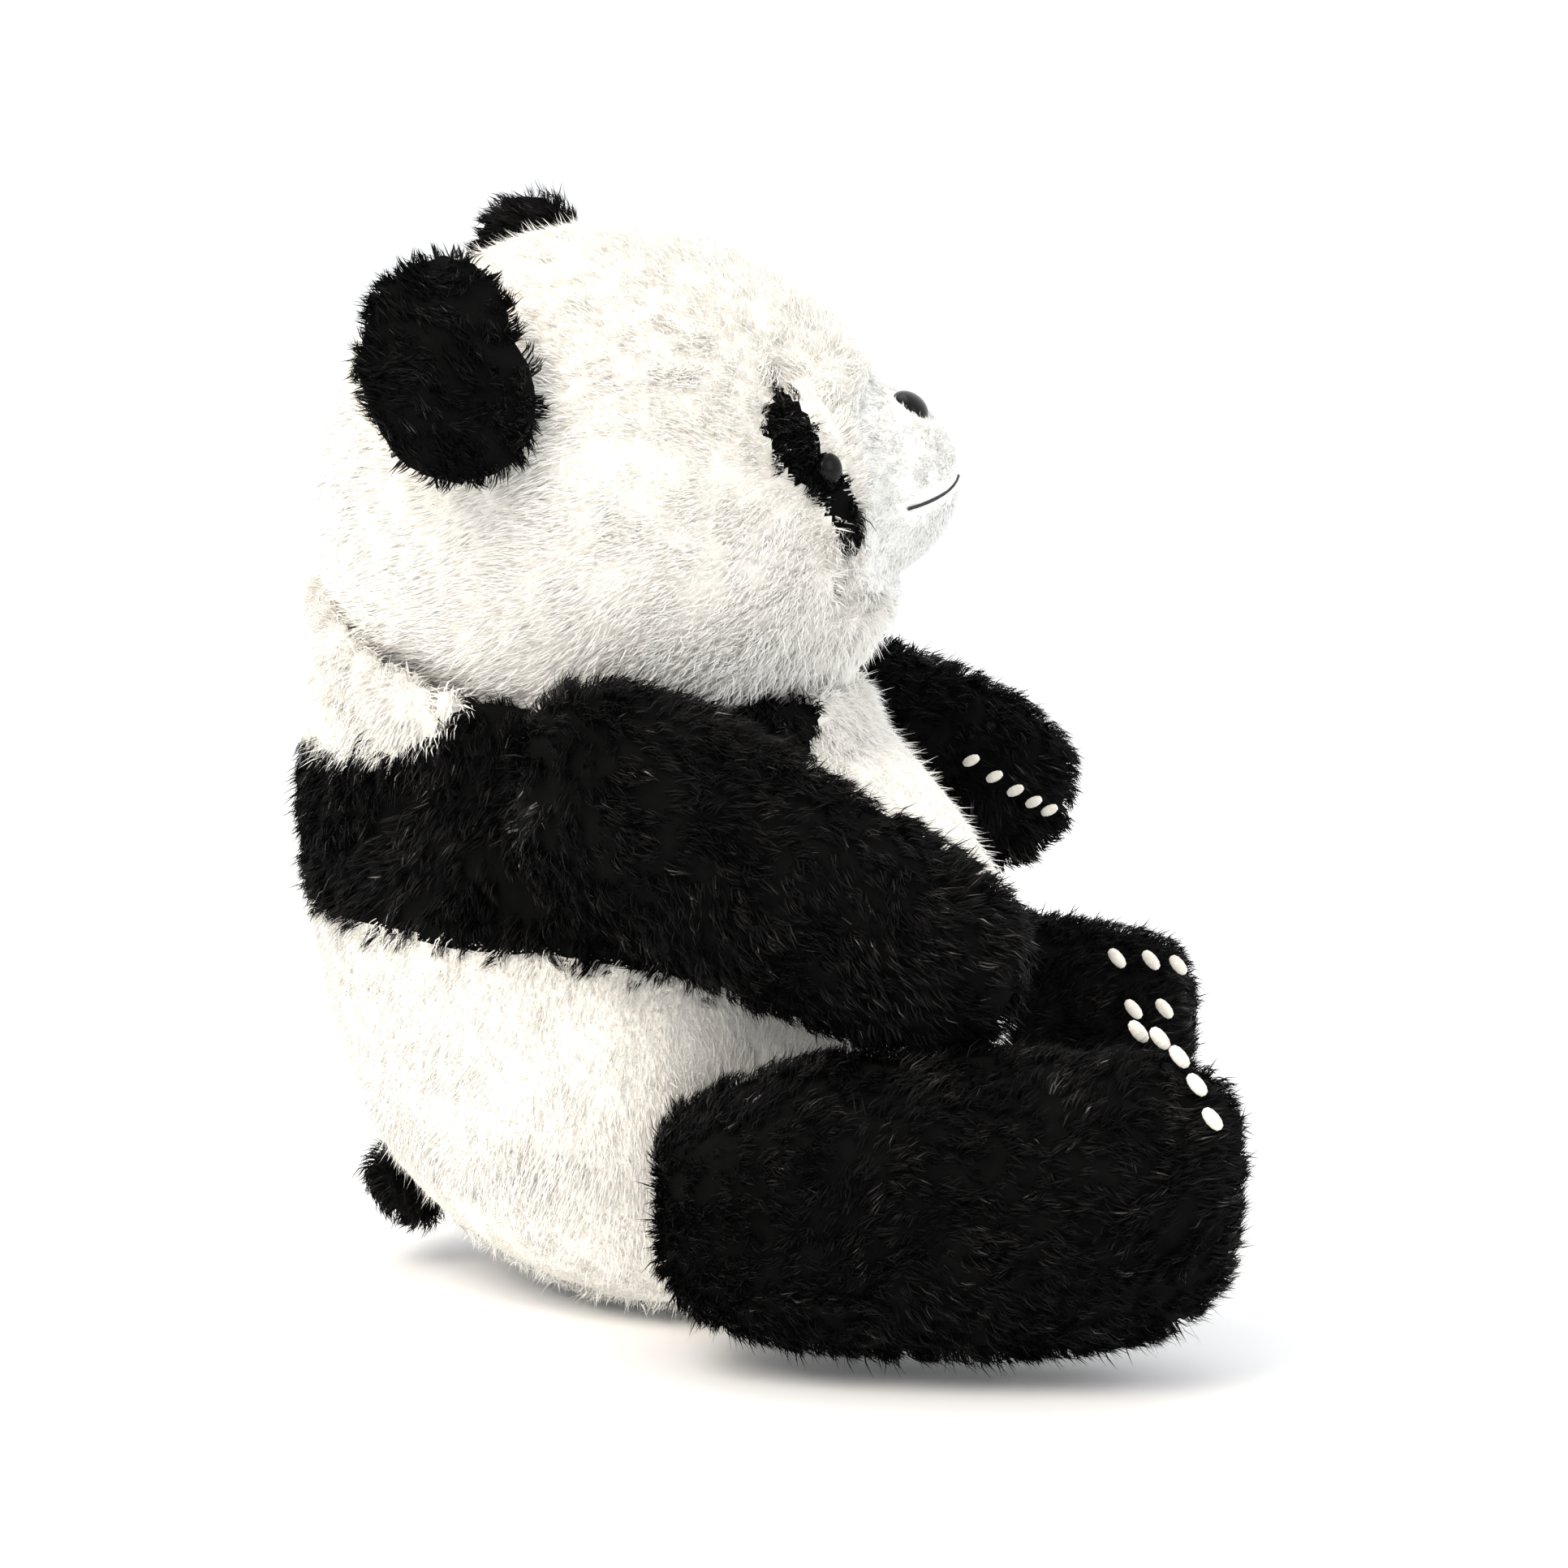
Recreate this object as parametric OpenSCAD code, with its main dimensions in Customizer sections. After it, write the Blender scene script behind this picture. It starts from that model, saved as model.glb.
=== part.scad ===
// Seated plush panda, sewn from pile fabric panels over stuffing.
// It faces -Y, +Z is up, its right side is -X, and it sits on Z = 0.

/* [Torso] */
// Half width of the hips
hip_half_w = 88; // [84:1:92]
// Half width of the shoulders
shoulder_half_w = 69; // [64:1:69]
// Height of the lower edge of the black shoulder band
yoke_bottom_z = 113; // [105:1:118]
// Height of the upper edge of the black band at the back
yoke_back_z = 162; // [155:1:165]

/* [Head] */
// Mean radius of the head
head_r = 84; // [82:1:84]
// Height of the centre of the head
head_z = 236; // [236:1:240]
// How far the head leans to its right, in degrees
head_lean = 4; // [0:1:6]
// Half width of the muzzle
muzzle_half_w = 33; // [30:1:33]

/* [Limbs] */
// Length of an arm
arm_len = 158; // [146:1:160]
// Length of a leg
leg_len = 168; // [160:1:170]

/* [Fabric] */
// Thickness of a panel, backing and flattened pile together
panel_t = 5; // [4:0.5:6]
// Gap between two panels at a seam
seam = 0.8; // [0.6:0.1:1.2]

/* [Hidden] */
SIDES = ["right", "left"];

WHITE = "ivory";
BLACK = [0.1, 0.1, 0.11];
FILL = [0.93, 0.93, 0.95];

stuffing_gap = 2.5;                       // room between a panel and the stuffing
pivot = [0, 50, head_z];                // centre of the head, where it turns and nods
socket_r = head_r + 3;                  // dish in the top of the torso under the head
neck_angle = 28;                        // half angle of the neck stuffing, seen from the pivot
hole_angle = 46;                        // half angle of the open neck of the head
claw_count = 5;

// ---- Surfaces: each form gives the point at (u, v), d below its surface ----

function bell(a, w) = exp(-pow(a / w, 2));
function unit(p) = p / norm(p);
function power_sin(a, e) = sign(sin(a)) * pow(abs(sin(a)), e);
function power_cos(a, e) = sign(cos(a)) * pow(abs(cos(a)), e);

// Torso, by height: rear limit, front limit and half width
function torso_rear(z) = lookup(z, [[0, 52], [8, 79], [20, 100], [34, 116], [50, 127], [80, 138],
    [110, 144], [150, 146], [190, 143], [212, 138]]);
function torso_front(z) = lookup(z, [[0, -34], [8, -46], [20, -54], [50, -62], [90, -68],
    [120, -66], [137, -57], [156, -40], [178, -22], [212, -18]]);
function torso_width(z) = lookup(z, [[0, 50], [8, 66], [20, 78], [50, hip_half_w],
    [75, hip_half_w - 4], [112, shoulder_half_w + 2], [135, shoulder_half_w],
    [188, shoulder_half_w], [212, 62]]);
// Height of the dish under the head, over the point (x, y)
function dish_z(x, y, r) =
    let (h = r * r - x * x - pow(y - pivot.y, 2))
    h <= 0 ? 999 : pivot.z - sqrt(h);
// The hips narrow in front, where the thighs lie
function thigh_room(y, z) = z > 100 ? 90 : lookup(y, [[6, 67], [34, 90]]);
torso_wall = function(u, z, d)
    let (y0 = torso_front(z), y1 = torso_rear(z), y = (y0 + y1) / 2 + ((y1 - y0) / 2 - d) * sin(u),
         w = (torso_width(z) - d) * cos(u), room = thigh_room(y, z) - d)
    let (x = sign(w) * min(abs(w), room))
    [x, y, min(z, dish_z(x, y, socket_r))];
// The rim is low at the sides and climbs behind the head
function torso_top(u) = 185 + 26 * pow(max(0, sin(u)), 3)
    - 5 * pow(max(0, -sin(u)), 3);
// The whole closed torso: floor for v < 1, wall for 1..2, dish for 2..3
torso_body = function(u, v, d)
    v < 1 ? let (p = torso_wall(u, d, d)) [p.x * v, (p.y - 8) * v + 8, d]
    : v <= 2 ? torso_wall(u, d + (torso_top(u) - 2 * d) * (v - 1), d)
    : let (top = torso_top(u) - d, p = torso_wall(u, top, d), s = max(3 - v, 0),
           x = p.x * s, y = (p.y - pivot.y) * s + pivot.y)
      [x, y, min(top, dish_z(x, y, socket_r + d))];

// Head, by the angle v from its right side and the angle u up from the front
function head_dir(u, v) = [-cos(v), -sin(v) * cos(u), sin(v) * sin(u)];
function toward(a, b) = acos(min(1, max(-1, unit(a) * unit(b))));
function head_radius(dir) = head_r
    + 4 * bell(toward(dir, [0, -1, -0.26]), 22)
    + 3 * (bell(toward(dir, [-0.6, -0.75, -0.2]), 20) + bell(toward(dir, [0.6, -0.75, -0.2]), 20))
    - 4 * bell(toward(dir, [0, 0, -1]), 50)
    + 3 * bell(toward(dir, [0, 1, 0.15]), 40)
    - 3 * bell(toward(dir, [0, 0, 1]), 45);
head = function(u, v, d) let (dir = head_dir(u, v)) pivot + dir * (head_radius(dir) - d);

// Muzzle, by the angle v from its tip and the angle u around it
muzzle_at = [0, -16, 243];
muzzle_half = [muzzle_half_w, 34.5, 29];
muzzle_base = 72;
muzzle = function(u, v, d)
    let (h = muzzle_half - [d, d, d])
    muzzle_at + [h.x * sin(v) * cos(u), -h.y * cos(v), h.z * sin(v) * sin(u)];
function muzzle_normal(u, v) = unit([for (i = [0:2])
    let (p = muzzle(u, v, 0) - muzzle_at) p[i] / pow(muzzle_half[i], 2)]);

// Limbs lie along -Y: v runs from 0 at the paw to 180 at the joint end
leg_at = [106, 27];                     // across, and the rear end of the thigh
leg_half_w = 35;
leg_half_h = 40;
leg_z = 42;
// Of the right and the left leg: its share of the length, how far the toes lift, and how much
// taller than the thigh half the foot is
leg_share = [1, 0.91];
toe_rise = [16, 11];
toe_more_h = [13, 8];
leg_form = function(i) let (share = leg_share[i]) function(u, v, d)
    let (half = leg_len * share / 2 - d, toe = pow((1 + cos(v)) / 2, 1.6),
         s = power_sin(v, v < 90 ? 0.52 : 0.6), rx = leg_half_w - d, rz = leg_half_h + toe_more_h[i] * toe - d)
    [leg_at.x + rx * s * cos(u),
     leg_at.y - leg_len * share / 2 - half * power_cos(v, 0.8),
     leg_z + toe_rise[i] * toe + rz * s * sin(u)];
// The arm lies along -Y from its shoulder at the origin, and is tallest there
arm_half_w = 24;
shoulder_half_h = 38;
shoulder_rise = 7;
behind_shoulder = 36;                   // how far the arm reaches behind the joint
arm = function(u, v, d)
    let (half = arm_len / 2 - d, hand = (1 + cos(v)) / 2, s = power_sin(v, 0.66),
         rx = arm_half_w - d, rz = shoulder_half_h - 12 * hand + 9 * pow(hand, 2) - d)
    [rx * s * cos(u), behind_shoulder - arm_len / 2 - half * power_cos(v, 0.9),
     shoulder_rise * pow(1 - hand, 2) - 2 + rz * s * sin(u)];
arm_at = [[96, 34, 156], [94, 32, 164]];
arm_pitch = [22, 13];                   // how far the right and left arms hang below level
arm_yaw = [0, 9];                       // how far they turn inwards

// The tail lies flat against the slope of the rump
tail_at = [0, 116, 24];
tail_half = [16, 7.5, 14];              // across, out from the rump, along it
rump_slope = 48;
tail = function(u, v, d)
    let (out = (tail_half.y - d) * sin(v) * sin(u), up = (tail_half.z - d) * cos(v))
    tail_at + [(tail_half.x - d) * sin(v) * cos(u),
        out * sin(rump_slope) + up * cos(rump_slope),
        up * sin(rump_slope) - out * cos(rump_slope)];

// Ear: a flat cup, by the angle v from its face and the angle u around its rim
ear_half = [8, 27, 34];
ear = function(u, v, d)
    let (r = 1 - 0.2 * bell(abs(u - 160), 20) + 0.08 * bell(abs(u - 222), 26))
    [(ear_half.x - d) * cos(v), (ear_half.y - d) * sin(v) * cos(u) * r,
     (ear_half.z - d) * sin(v) * sin(u) * r];
ear_at = [-86, 84, 286];
ear_turn = [0, 16, 22];                 // the rear edge stands off the head

// ---- Builders ----

// Faces of a grid whose first or last row may be a single point, and which may close around
function grid_start(i, row, tip) = tip ? (i == 0 ? 0 : 1 + (i - 1) * row) : i * row;
function at_value(x, u) = is_function(x) ? x(u) : x;

// A polyhedron whose faces may all wind either way
function six_volumes(p, faces) = [for (f = faces) 1] * [for (f = faces) p[f[0]] * cross(p[f[1]], p[f[2]])];
module solid(points, faces) {
    turned = six_volumes(points, faces) > 0;
    polyhedron(points, turned ? [for (f = faces) [f[2], f[1], f[0]]] : faces);
}

// A shell with thickness t over a window of a form
module panel(form, u0, u1, v0, v1, nu, nv, t = panel_t, tip0 = false, tip1 = false) {
    around = u1 - u0 == 360;
    row = around ? nu : nu + 1;
    single = function(i) (tip0 && i == 0) || (tip1 && i == nv);
    idx = function(i, j) grid_start(i, row, tip0) + (single(i) ? 0 : around ? j % nu : j);
    layer = function(d) [for (i = [0:nv]) for (j = [0:(single(i) ? 0 : row - 1)])
        let (u = u0 + (u1 - u0) * j / nu, a = at_value(v0, u), b = at_value(v1, u))
        form(u, a + (b - a) * i / nv, d)];
    n = len(layer(0));
    quads = [for (i = [0:nv - 1]) for (j = [0:nu - 1])
        [idx(i, j), idx(i, j + 1), idx(i + 1, j + 1), idx(i + 1, j)]];
    skin = [for (q = quads) each [[q[0], q[1], q[2]], [q[0], q[2], q[3]]]];
    kept = [for (f = skin) if (f[0] != f[1] && f[1] != f[2] && f[2] != f[0]) f];
    edge = concat(
        around ? [] : [for (i = [0:nv - 1]) [idx(i, 0), idx(i + 1, 0)]],
        around ? [] : [for (i = [0:nv - 1]) [idx(i + 1, nu), idx(i, nu)]],
        tip0 ? [] : [for (j = [0:nu - 1]) [idx(0, j + 1), idx(0, j)]],
        tip1 ? [] : [for (j = [0:nu - 1]) [idx(nv, j), idx(nv, j + 1)]]);
    solid(concat(layer(0), layer(t)), concat(
        kept,
        [for (f = kept) [f[2] + n, f[1] + n, f[0] + n]],
        [for (e = edge) each [[e[0], e[1], e[1] + n], [e[0], e[1] + n, e[0] + n]]]));
}

// A closed solid, d below the surface of a form
module blob(form, nu, nv, v0, v1, d) {
    points = concat([form(0, v0, d)],
        [for (i = [1:nv - 1]) for (j = [0:nu - 1]) form(360 * j / nu, v0 + (v1 - v0) * i / nv, d)],
        [form(0, v1, d)]);
    idx = function(i, j) 1 + (i - 1) * nu + j % nu;
    last = len(points) - 1;
    solid(points, concat(
        [for (j = [0:nu - 1]) [0, idx(1, j + 1), idx(1, j)]],
        [for (i = [1:nv - 2]) for (j = [0:nu - 1]) each
            [[idx(i, j), idx(i, j + 1), idx(i + 1, j + 1)], [idx(i, j), idx(i + 1, j + 1), idx(i + 1, j)]]],
        [for (j = [0:nu - 1]) [idx(nv - 1, j), idx(nv - 1, j + 1), last]]));
}

// The head leans a little to its right
module lean_head() {
    translate(pivot) rotate([0, -head_lean, 0]) translate(-pivot) children();
}

module on_side(side) {
    if (side == "right") children();
    else mirror([1, 0, 0]) children();
}

// Puts +Z along a direction
module aim(at, dir) {
    translate(at) rotate([0, acos(dir.z / norm(dir)), atan2(dir.y, dir.x)]) children();
}

// ---- Torso ----

yoke_top = function(u)
    let (off = abs(u - 90)) lookup(off, [[0, yoke_back_z], [38, yoke_back_z], [62, 174],
    [70, 181], [74, 999]]);
yoke_upper = function(u) min(yoke_top(u), torso_top(u));
// The black band dips towards the arms
yoke_lower = function(u) yoke_bottom_z - lookup(u, [[110, 0], [180, 6], [210, 17], [228, 20]]);
// The seams of the chest lean inwards as they climb
chest_lean = 15;
chest_turn = function(u, z) chest_lean * lookup(z, [[130, 0], [175, 1]])
    * lookup(u, [[180, 0], [228, 1], [270, 0], [312, -1]]);
chest_wall = function(u, z, d) torso_wall(u + chest_turn(u, z), z, d);
gap_u = 0.5;                            // half a seam, in degrees around the torso

module belly_panel() {
    color(WHITE) panel(chest_wall, 228 + gap_u, 312 - gap_u, panel_t + seam, function(u) torso_top(u),
        8, 9);
}
module back_panel() {
    color(WHITE) panel(torso_wall, 90 + gap_u, 228 - gap_u, panel_t + seam, yoke_lower, 16, 7);
}
module yoke() {
    color(BLACK) panel(chest_wall, 90 + gap_u, 228 - gap_u, function(u) yoke_lower(u) + seam,
        yoke_upper, 16, 5);
}
module nape_panel() {
    lower = function(u) yoke_top(u) + 3 * seam;
    color(WHITE) panel(torso_wall, 20, 160, lower, function(u) torso_top(u) + 0.01, 18, 4, 3);
}
module base_panel() {
    floor_form = function(u, v, d) let (p = torso_wall(u, d, 0)) [p.x * v, (p.y - 8) * v + 8, d];
    color(WHITE) panel(floor_form, 0, 360, 0, 1, 28, 2, tip0 = true);
}
stuffing_d = panel_t + stuffing_gap;
pouch_r = 38;
pouch_at = [0, 22, 14];
pouch_h = 24;
pouch_room = 1;
pouch_t = 1;
module body_stuffing() {
    color(FILL) difference() {
        blob(torso_body, 24, 16, 0, 3, stuffing_d);
        pouch_shape(-pouch_room);
    }
}
module pouch_shape(inset) {
    translate(pouch_at + [0, 0, inset])
        cylinder(h = pouch_h - 2 * inset, r = pouch_r - inset, $fn = 48);
}
module pellet_pouch() {
    color("tan") difference() {
        pouch_shape(0);
        pouch_shape(pouch_t);
    }
}
module pellet_fill() {
    color("white") pouch_shape(pouch_t + 0.2);
}

// ---- Tail ----

module tail_cover() {
    color(BLACK) difference() {
        blob(tail, 16, 9, 0, 180, 0);
        blob(tail, 16, 9, 0, 180, 3.5);
    }
}
module tail_stuffing() {
    color(FILL) blob(tail, 14, 8, 0, 180, 4.5);
}

// ---- Neck and head ----

module neck_stuffing() {
    outer = head_r - 1;
    inner = head_r - 15;
    color(FILL) translate(pivot) rotate_extrude($fn = 48) polygon(concat(
        [for (a = [0:7:neck_angle]) [outer * sin(a), -outer * cos(a)]],
        [for (a = [neck_angle:-7:0]) [inner * sin(a), -inner * cos(a)]]));
}
// How close to the side of the head a side panel may reach, clear of the neck, patch and muzzle
side_edge = 62;
// The eye patch slants down towards the muzzle
patch_u = [-3, 34];
patch_rear = function(u) lookup(u, [[-3, 57], [7, 51.5], [15, 46], [30, 44.5], [34, 50]]);
patch_front = 62.5;
neck_edge = function(u) lookup(abs(u - 270), [[0, 90 - hole_angle], [30, 50], [48, side_edge]]);
face_edge = function(u) min(neck_edge(u < 0 ? u + 360 : u),
    u < patch_u[0] ? lookup(u, [[-21, side_edge], [patch_u[0] - 2, patch_rear(patch_u[0]) - 1]])
    : u > patch_u[1] ? lookup(u, [[patch_u[1] + 2, patch_rear(patch_u[1]) - 1], [43, side_edge]])
    : patch_rear(u) - 1);
module face_panel() {
    color(WHITE) panel(head, -85 + gap_u, 102 - gap_u, 0, face_edge, 26, 6, tip0 = true);
}
module head_back() {
    color(WHITE) panel(head, 102 + gap_u, 275 - gap_u, 0, function(u) neck_edge(u), 20, 6, tip0 = true);
}
module eye_patch() {
    color(BLACK) difference() {
        panel(head, patch_u[0], patch_u[1], function(u) patch_rear(u) + gap_u, patch_front, 9, 4);
        aim(eye_at, eye_dir) cylinder(h = 40, r = shank_r + 0.3, center = true, $fn = 24);
    }
}
module crown_gusset() {
    color(WHITE) panel(head, 30, 270 - hole_angle, side_edge + 2 * gap_u, 180 - side_edge - 2 * gap_u,
        20, 6);
}
module chin_panel() {
    color(WHITE) panel(head, hole_angle - 90, -22, side_edge + 2 * gap_u, 180 - side_edge - 2 * gap_u,
        4, 6);
}
head_fill_d = panel_t + 5;
neck_cut = head_r - 18;
module head_stuffing() {
    fill = function(u, v, d) let (p = head(u, v, d) - pivot, down = toward(p, [0, 0, -1]))
        pivot + unit(p) * min(norm(p), down < hole_angle + 8 ? neck_cut : head_r - d);
    color(FILL) blob(fill, 32, 20, 0, 180, head_fill_d);
}

// ---- Muzzle, nose and mouth ----

shank_r = 1.6;
nose_u = 90;
nose_v = 49;
nose_half = [8, 6, 4];
nose_sink = 2.1;                        // how deep the rim of the nose sits in the cover
nose_seat = 0.3;                        // room around and under it
nose_at = muzzle(nose_u, nose_v, 0);
nose_dir = muzzle_normal(nose_u, nose_v);
module muzzle_cover() {
    color(WHITE) difference() {
        panel(muzzle, 0, 360, 0, muzzle_base, 24, 7, tip0 = true);
        aim(nose_at, nose_dir) cylinder(h = 30, r = shank_r + 0.3, center = true, $fn = 24);
        aim(nose_at, nose_dir) translate([0, 0, -nose_sink - nose_seat])
            cylinder(h = 15, r = nose_half.x + nose_seat, $fn = 48);
    }
}
module muzzle_stuffing() {
    fill = function(u, v, d) let (p = muzzle(u, min(v, 70), d)) v > 70 ? [0, p.y, muzzle_at.z] : p;
    color(FILL) blob(fill, 20, 8, 0, 80, panel_t + 4);
}
// A domed button with a shank through the fabric, its rim at height rise
module button(half_w, half_h, high, rise) {
    translate([0, 0, rise]) intersection() {
        scale([half_h, half_w, high]) sphere(r = 1, $fn = 48);
        translate([-20, -20, 0]) cube([40, 40, 20]);
    }
    translate([0, 0, -8.4]) cylinder(h = 10, r = shank_r, $fn = 24);
}
module washer(r) {
    translate([0, 0, -7.6]) difference() {
        cylinder(h = 1.2, r = r, $fn = 32);
        translate([0, 0, -1]) cylinder(h = 4, r = shank_r + 0.05, $fn = 24);
    }
}
module nose() {
    color(BLACK) aim(nose_at, nose_dir) button(nose_half.x, nose_half.y, nose_half.z, -nose_sink);
}
module nose_washer() {
    color("white") aim(nose_at, nose_dir) washer(6);
}
// One thread across the tip of the muzzle to both corners of the mouth
mouth_r = 0.5;
module mouth_stitch() {
    droop = 14;
    stroke = function(s) [s < 0 ? -droop : droop - 180, 50 * abs(s)];
    steps = 16;
    sides = 6;
    rings = [for (i = [0:steps]) let (s = -1 + 2 * i / steps, q = stroke(s), n = muzzle_normal(q[0], q[1]),
        c = muzzle(q[0], q[1], 0) + n * 1.1, q2 = stroke(s + 0.01),
        along = unit(muzzle(q2[0], q2[1], 0) - muzzle(q[0], q[1], 0)), side = cross(n, along))
        [for (k = [0:sides - 1]) c + mouth_r * (cos(60 * k) * n + sin(60 * k) * side)]];
    points = [for (r = rings) each r];
    at = function(i, k) i * sides + k % sides;
    color(BLACK) polyhedron(points, concat(
        [for (i = [0:steps - 1]) for (k = [0:sides - 1]) each
            [[at(i, k), at(i + 1, k + 1), at(i + 1, k)], [at(i, k), at(i, k + 1), at(i + 1, k + 1)]]],
        [[for (k = [sides - 1:-1:0]) k]], [[for (k = [0:sides - 1]) at(steps, k)]]));
}
eye_u = 14;
eye_v = 55;
eye_at = head(eye_u, eye_v, 0);
eye_dir = head_dir(eye_u, eye_v);
module eye() {
    color(BLACK) aim(eye_at, eye_dir) button(4.5, 4.5, 2.6, 1.4);
}
module eye_washer() {
    color("white") aim(eye_at, eye_dir) washer(5);
}

// ---- Ears ----

module place_ear() {
    translate(ear_at) rotate(ear_turn) children();
}
ear_t = 3;
module ear_side(v0, v1) {
    color(BLACK) place_ear() panel(ear, 0, 360, v0, v1, 20, 5, ear_t, v0 == 0, v1 == 180);
}
module ear_front() {
    ear_side(91, 180);
}
module ear_back() {
    ear_side(0, 89);
}

// ---- Arms ----

module place_arm(side) {
    i = side == "right" ? 0 : 1;
    translate([-arm_at[i].x, arm_at[i].y, arm_at[i].z]) rotate([arm_pitch[i], 0, arm_yaw[i]]) children();
}
module arm_outer(side) {
    color(BLACK) place_arm(side) panel(arm, 91, 269, 0, 180, 10, 14, tip0 = true, tip1 = true);
}
module arm_inner(side) {
    color(BLACK) place_arm(side) panel(arm, -89, 89, 0, 180, 10, 14, tip0 = true, tip1 = true);
}
module arm_stuffing(side) {
    color(FILL) place_arm(side) blob(arm, 16, 12, 0, 180, stuffing_d);
}
module claw(long, wide) {
    rotate([90, 0, 0]) rotate_extrude($fn = 16) polygon([for (a = [0:30:180])
        [wide / 2 * pow(sin(a), 0.8), -long / 2 * cos(a)]]);
}
module arm_claws(side) {
    color("white") place_arm(side) for (i = [0:claw_count - 1]) {
        around = -8 + 5 * i;
        translate(arm(around, 27 + 7.5 * i, -2.4)) rotate([-40, 0, 12]) claw(6, 3.2);
    }
}

// ---- Legs ----

sole_v = 34;
function leg_on(side) = leg_form(side == "right" ? 0 : 1);
module leg_half(side, u0, u1) {
    color(BLACK) mirror([1, 0, 0]) panel(leg_on(side), u0, u1, sole_v + 0.8, 180, 10, 12, tip1 = true);
}
module leg_outer(side) {
    leg_half(side, -89, 89);
}
module leg_inner(side) {
    leg_half(side, 91, 269);
}
module foot_sole(side) {
    color(BLACK) mirror([1, 0, 0]) panel(leg_on(side), 0, 360, 0, sole_v, 20, 3, tip0 = true);
}
module leg_stuffing(side) {
    color(FILL) mirror([1, 0, 0]) blob(leg_on(side), 16, 12, 0, 180, stuffing_d);
}
module leg_claws(side) {
    leg = leg_on(side);
    // One row on the right foot, and two staggered rows on the left
    around = function(i) side == "right" ? 99 - 15 * i : 132 + 24 * (i % 2);
    color("white") mirror([1, 0, 0]) for (i = [0:claw_count - 1])
        translate(leg(around(i), 58 - 5.5 * i, -3)) rotate([50, 0, 0]) claw(7.5, 4);
}

// ---- The whole toy ----

belly_panel();
base_panel();
nape_panel();
body_stuffing();
pellet_pouch();
pellet_fill();
tail_cover();
tail_stuffing();
neck_stuffing();
lean_head() crown_gusset();
lean_head() chin_panel();
lean_head() muzzle_cover();
lean_head() muzzle_stuffing();
lean_head() nose();
lean_head() nose_washer();
lean_head() mouth_stitch();
lean_head() head_stuffing();
for (side = SIDES) lean_head() on_side(side) {
    face_panel();
    head_back();
    eye();
    eye_washer();
    eye_patch();
    ear_front();
    ear_back();
}
for (side = SIDES) on_side(side) {
    back_panel();
    yoke();
    arm_outer(side);
    arm_inner(side);
    arm_stuffing(side);
    arm_claws(side);
    leg_outer(side);
    leg_inner(side);
    foot_sole(side);
    leg_stuffing(side);
    leg_claws(side);
}
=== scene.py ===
"""Looks of the seated plush panda: stuffed skins under real pile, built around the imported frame.

Every size is in metres. The panda faces -Y and its right side is -X.
"""

import math

import bmesh
import bpy
import numpy as np
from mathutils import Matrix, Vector
from mathutils.bvhtree import BVHTree
from mathutils.kdtree import KDTree


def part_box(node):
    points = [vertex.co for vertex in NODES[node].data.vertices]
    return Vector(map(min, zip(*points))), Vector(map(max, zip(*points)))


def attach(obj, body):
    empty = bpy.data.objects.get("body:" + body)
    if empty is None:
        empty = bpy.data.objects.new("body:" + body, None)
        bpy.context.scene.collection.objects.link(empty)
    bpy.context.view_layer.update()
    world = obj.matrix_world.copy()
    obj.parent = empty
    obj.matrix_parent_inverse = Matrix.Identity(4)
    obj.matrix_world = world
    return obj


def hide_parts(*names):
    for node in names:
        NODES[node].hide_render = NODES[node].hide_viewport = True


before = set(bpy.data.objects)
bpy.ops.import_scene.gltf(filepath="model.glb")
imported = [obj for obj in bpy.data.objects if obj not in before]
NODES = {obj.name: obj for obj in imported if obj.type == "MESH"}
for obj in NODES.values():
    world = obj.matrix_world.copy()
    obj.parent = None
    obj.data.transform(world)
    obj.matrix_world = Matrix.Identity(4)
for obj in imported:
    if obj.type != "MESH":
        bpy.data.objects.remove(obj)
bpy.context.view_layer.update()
MM = 0.001
SIDES = ("right", "left")
PILE_SHARE = 1.0
X, Y, Z = 0, 1, 2


def unit(v):
    """Rows of v at length 1."""
    return v / np.maximum(np.linalg.norm(v, axis=-1, keepdims=True), 1e-9)


# ---------------------------------------------------------------- materials


def principled(name, color, roughness, **sockets):
    """A material with plain values on its shader's sockets."""
    mat = bpy.data.materials.new(name)
    mat.use_nodes = True
    shader = mat.node_tree.nodes["Principled BSDF"]
    shader.inputs["Base Color"].default_value = (*color, 1)
    shader.inputs["Roughness"].default_value = roughness
    for key, value in sockets.items():
        shader.inputs[key.replace("_", " ")].default_value = value
    return mat


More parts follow.
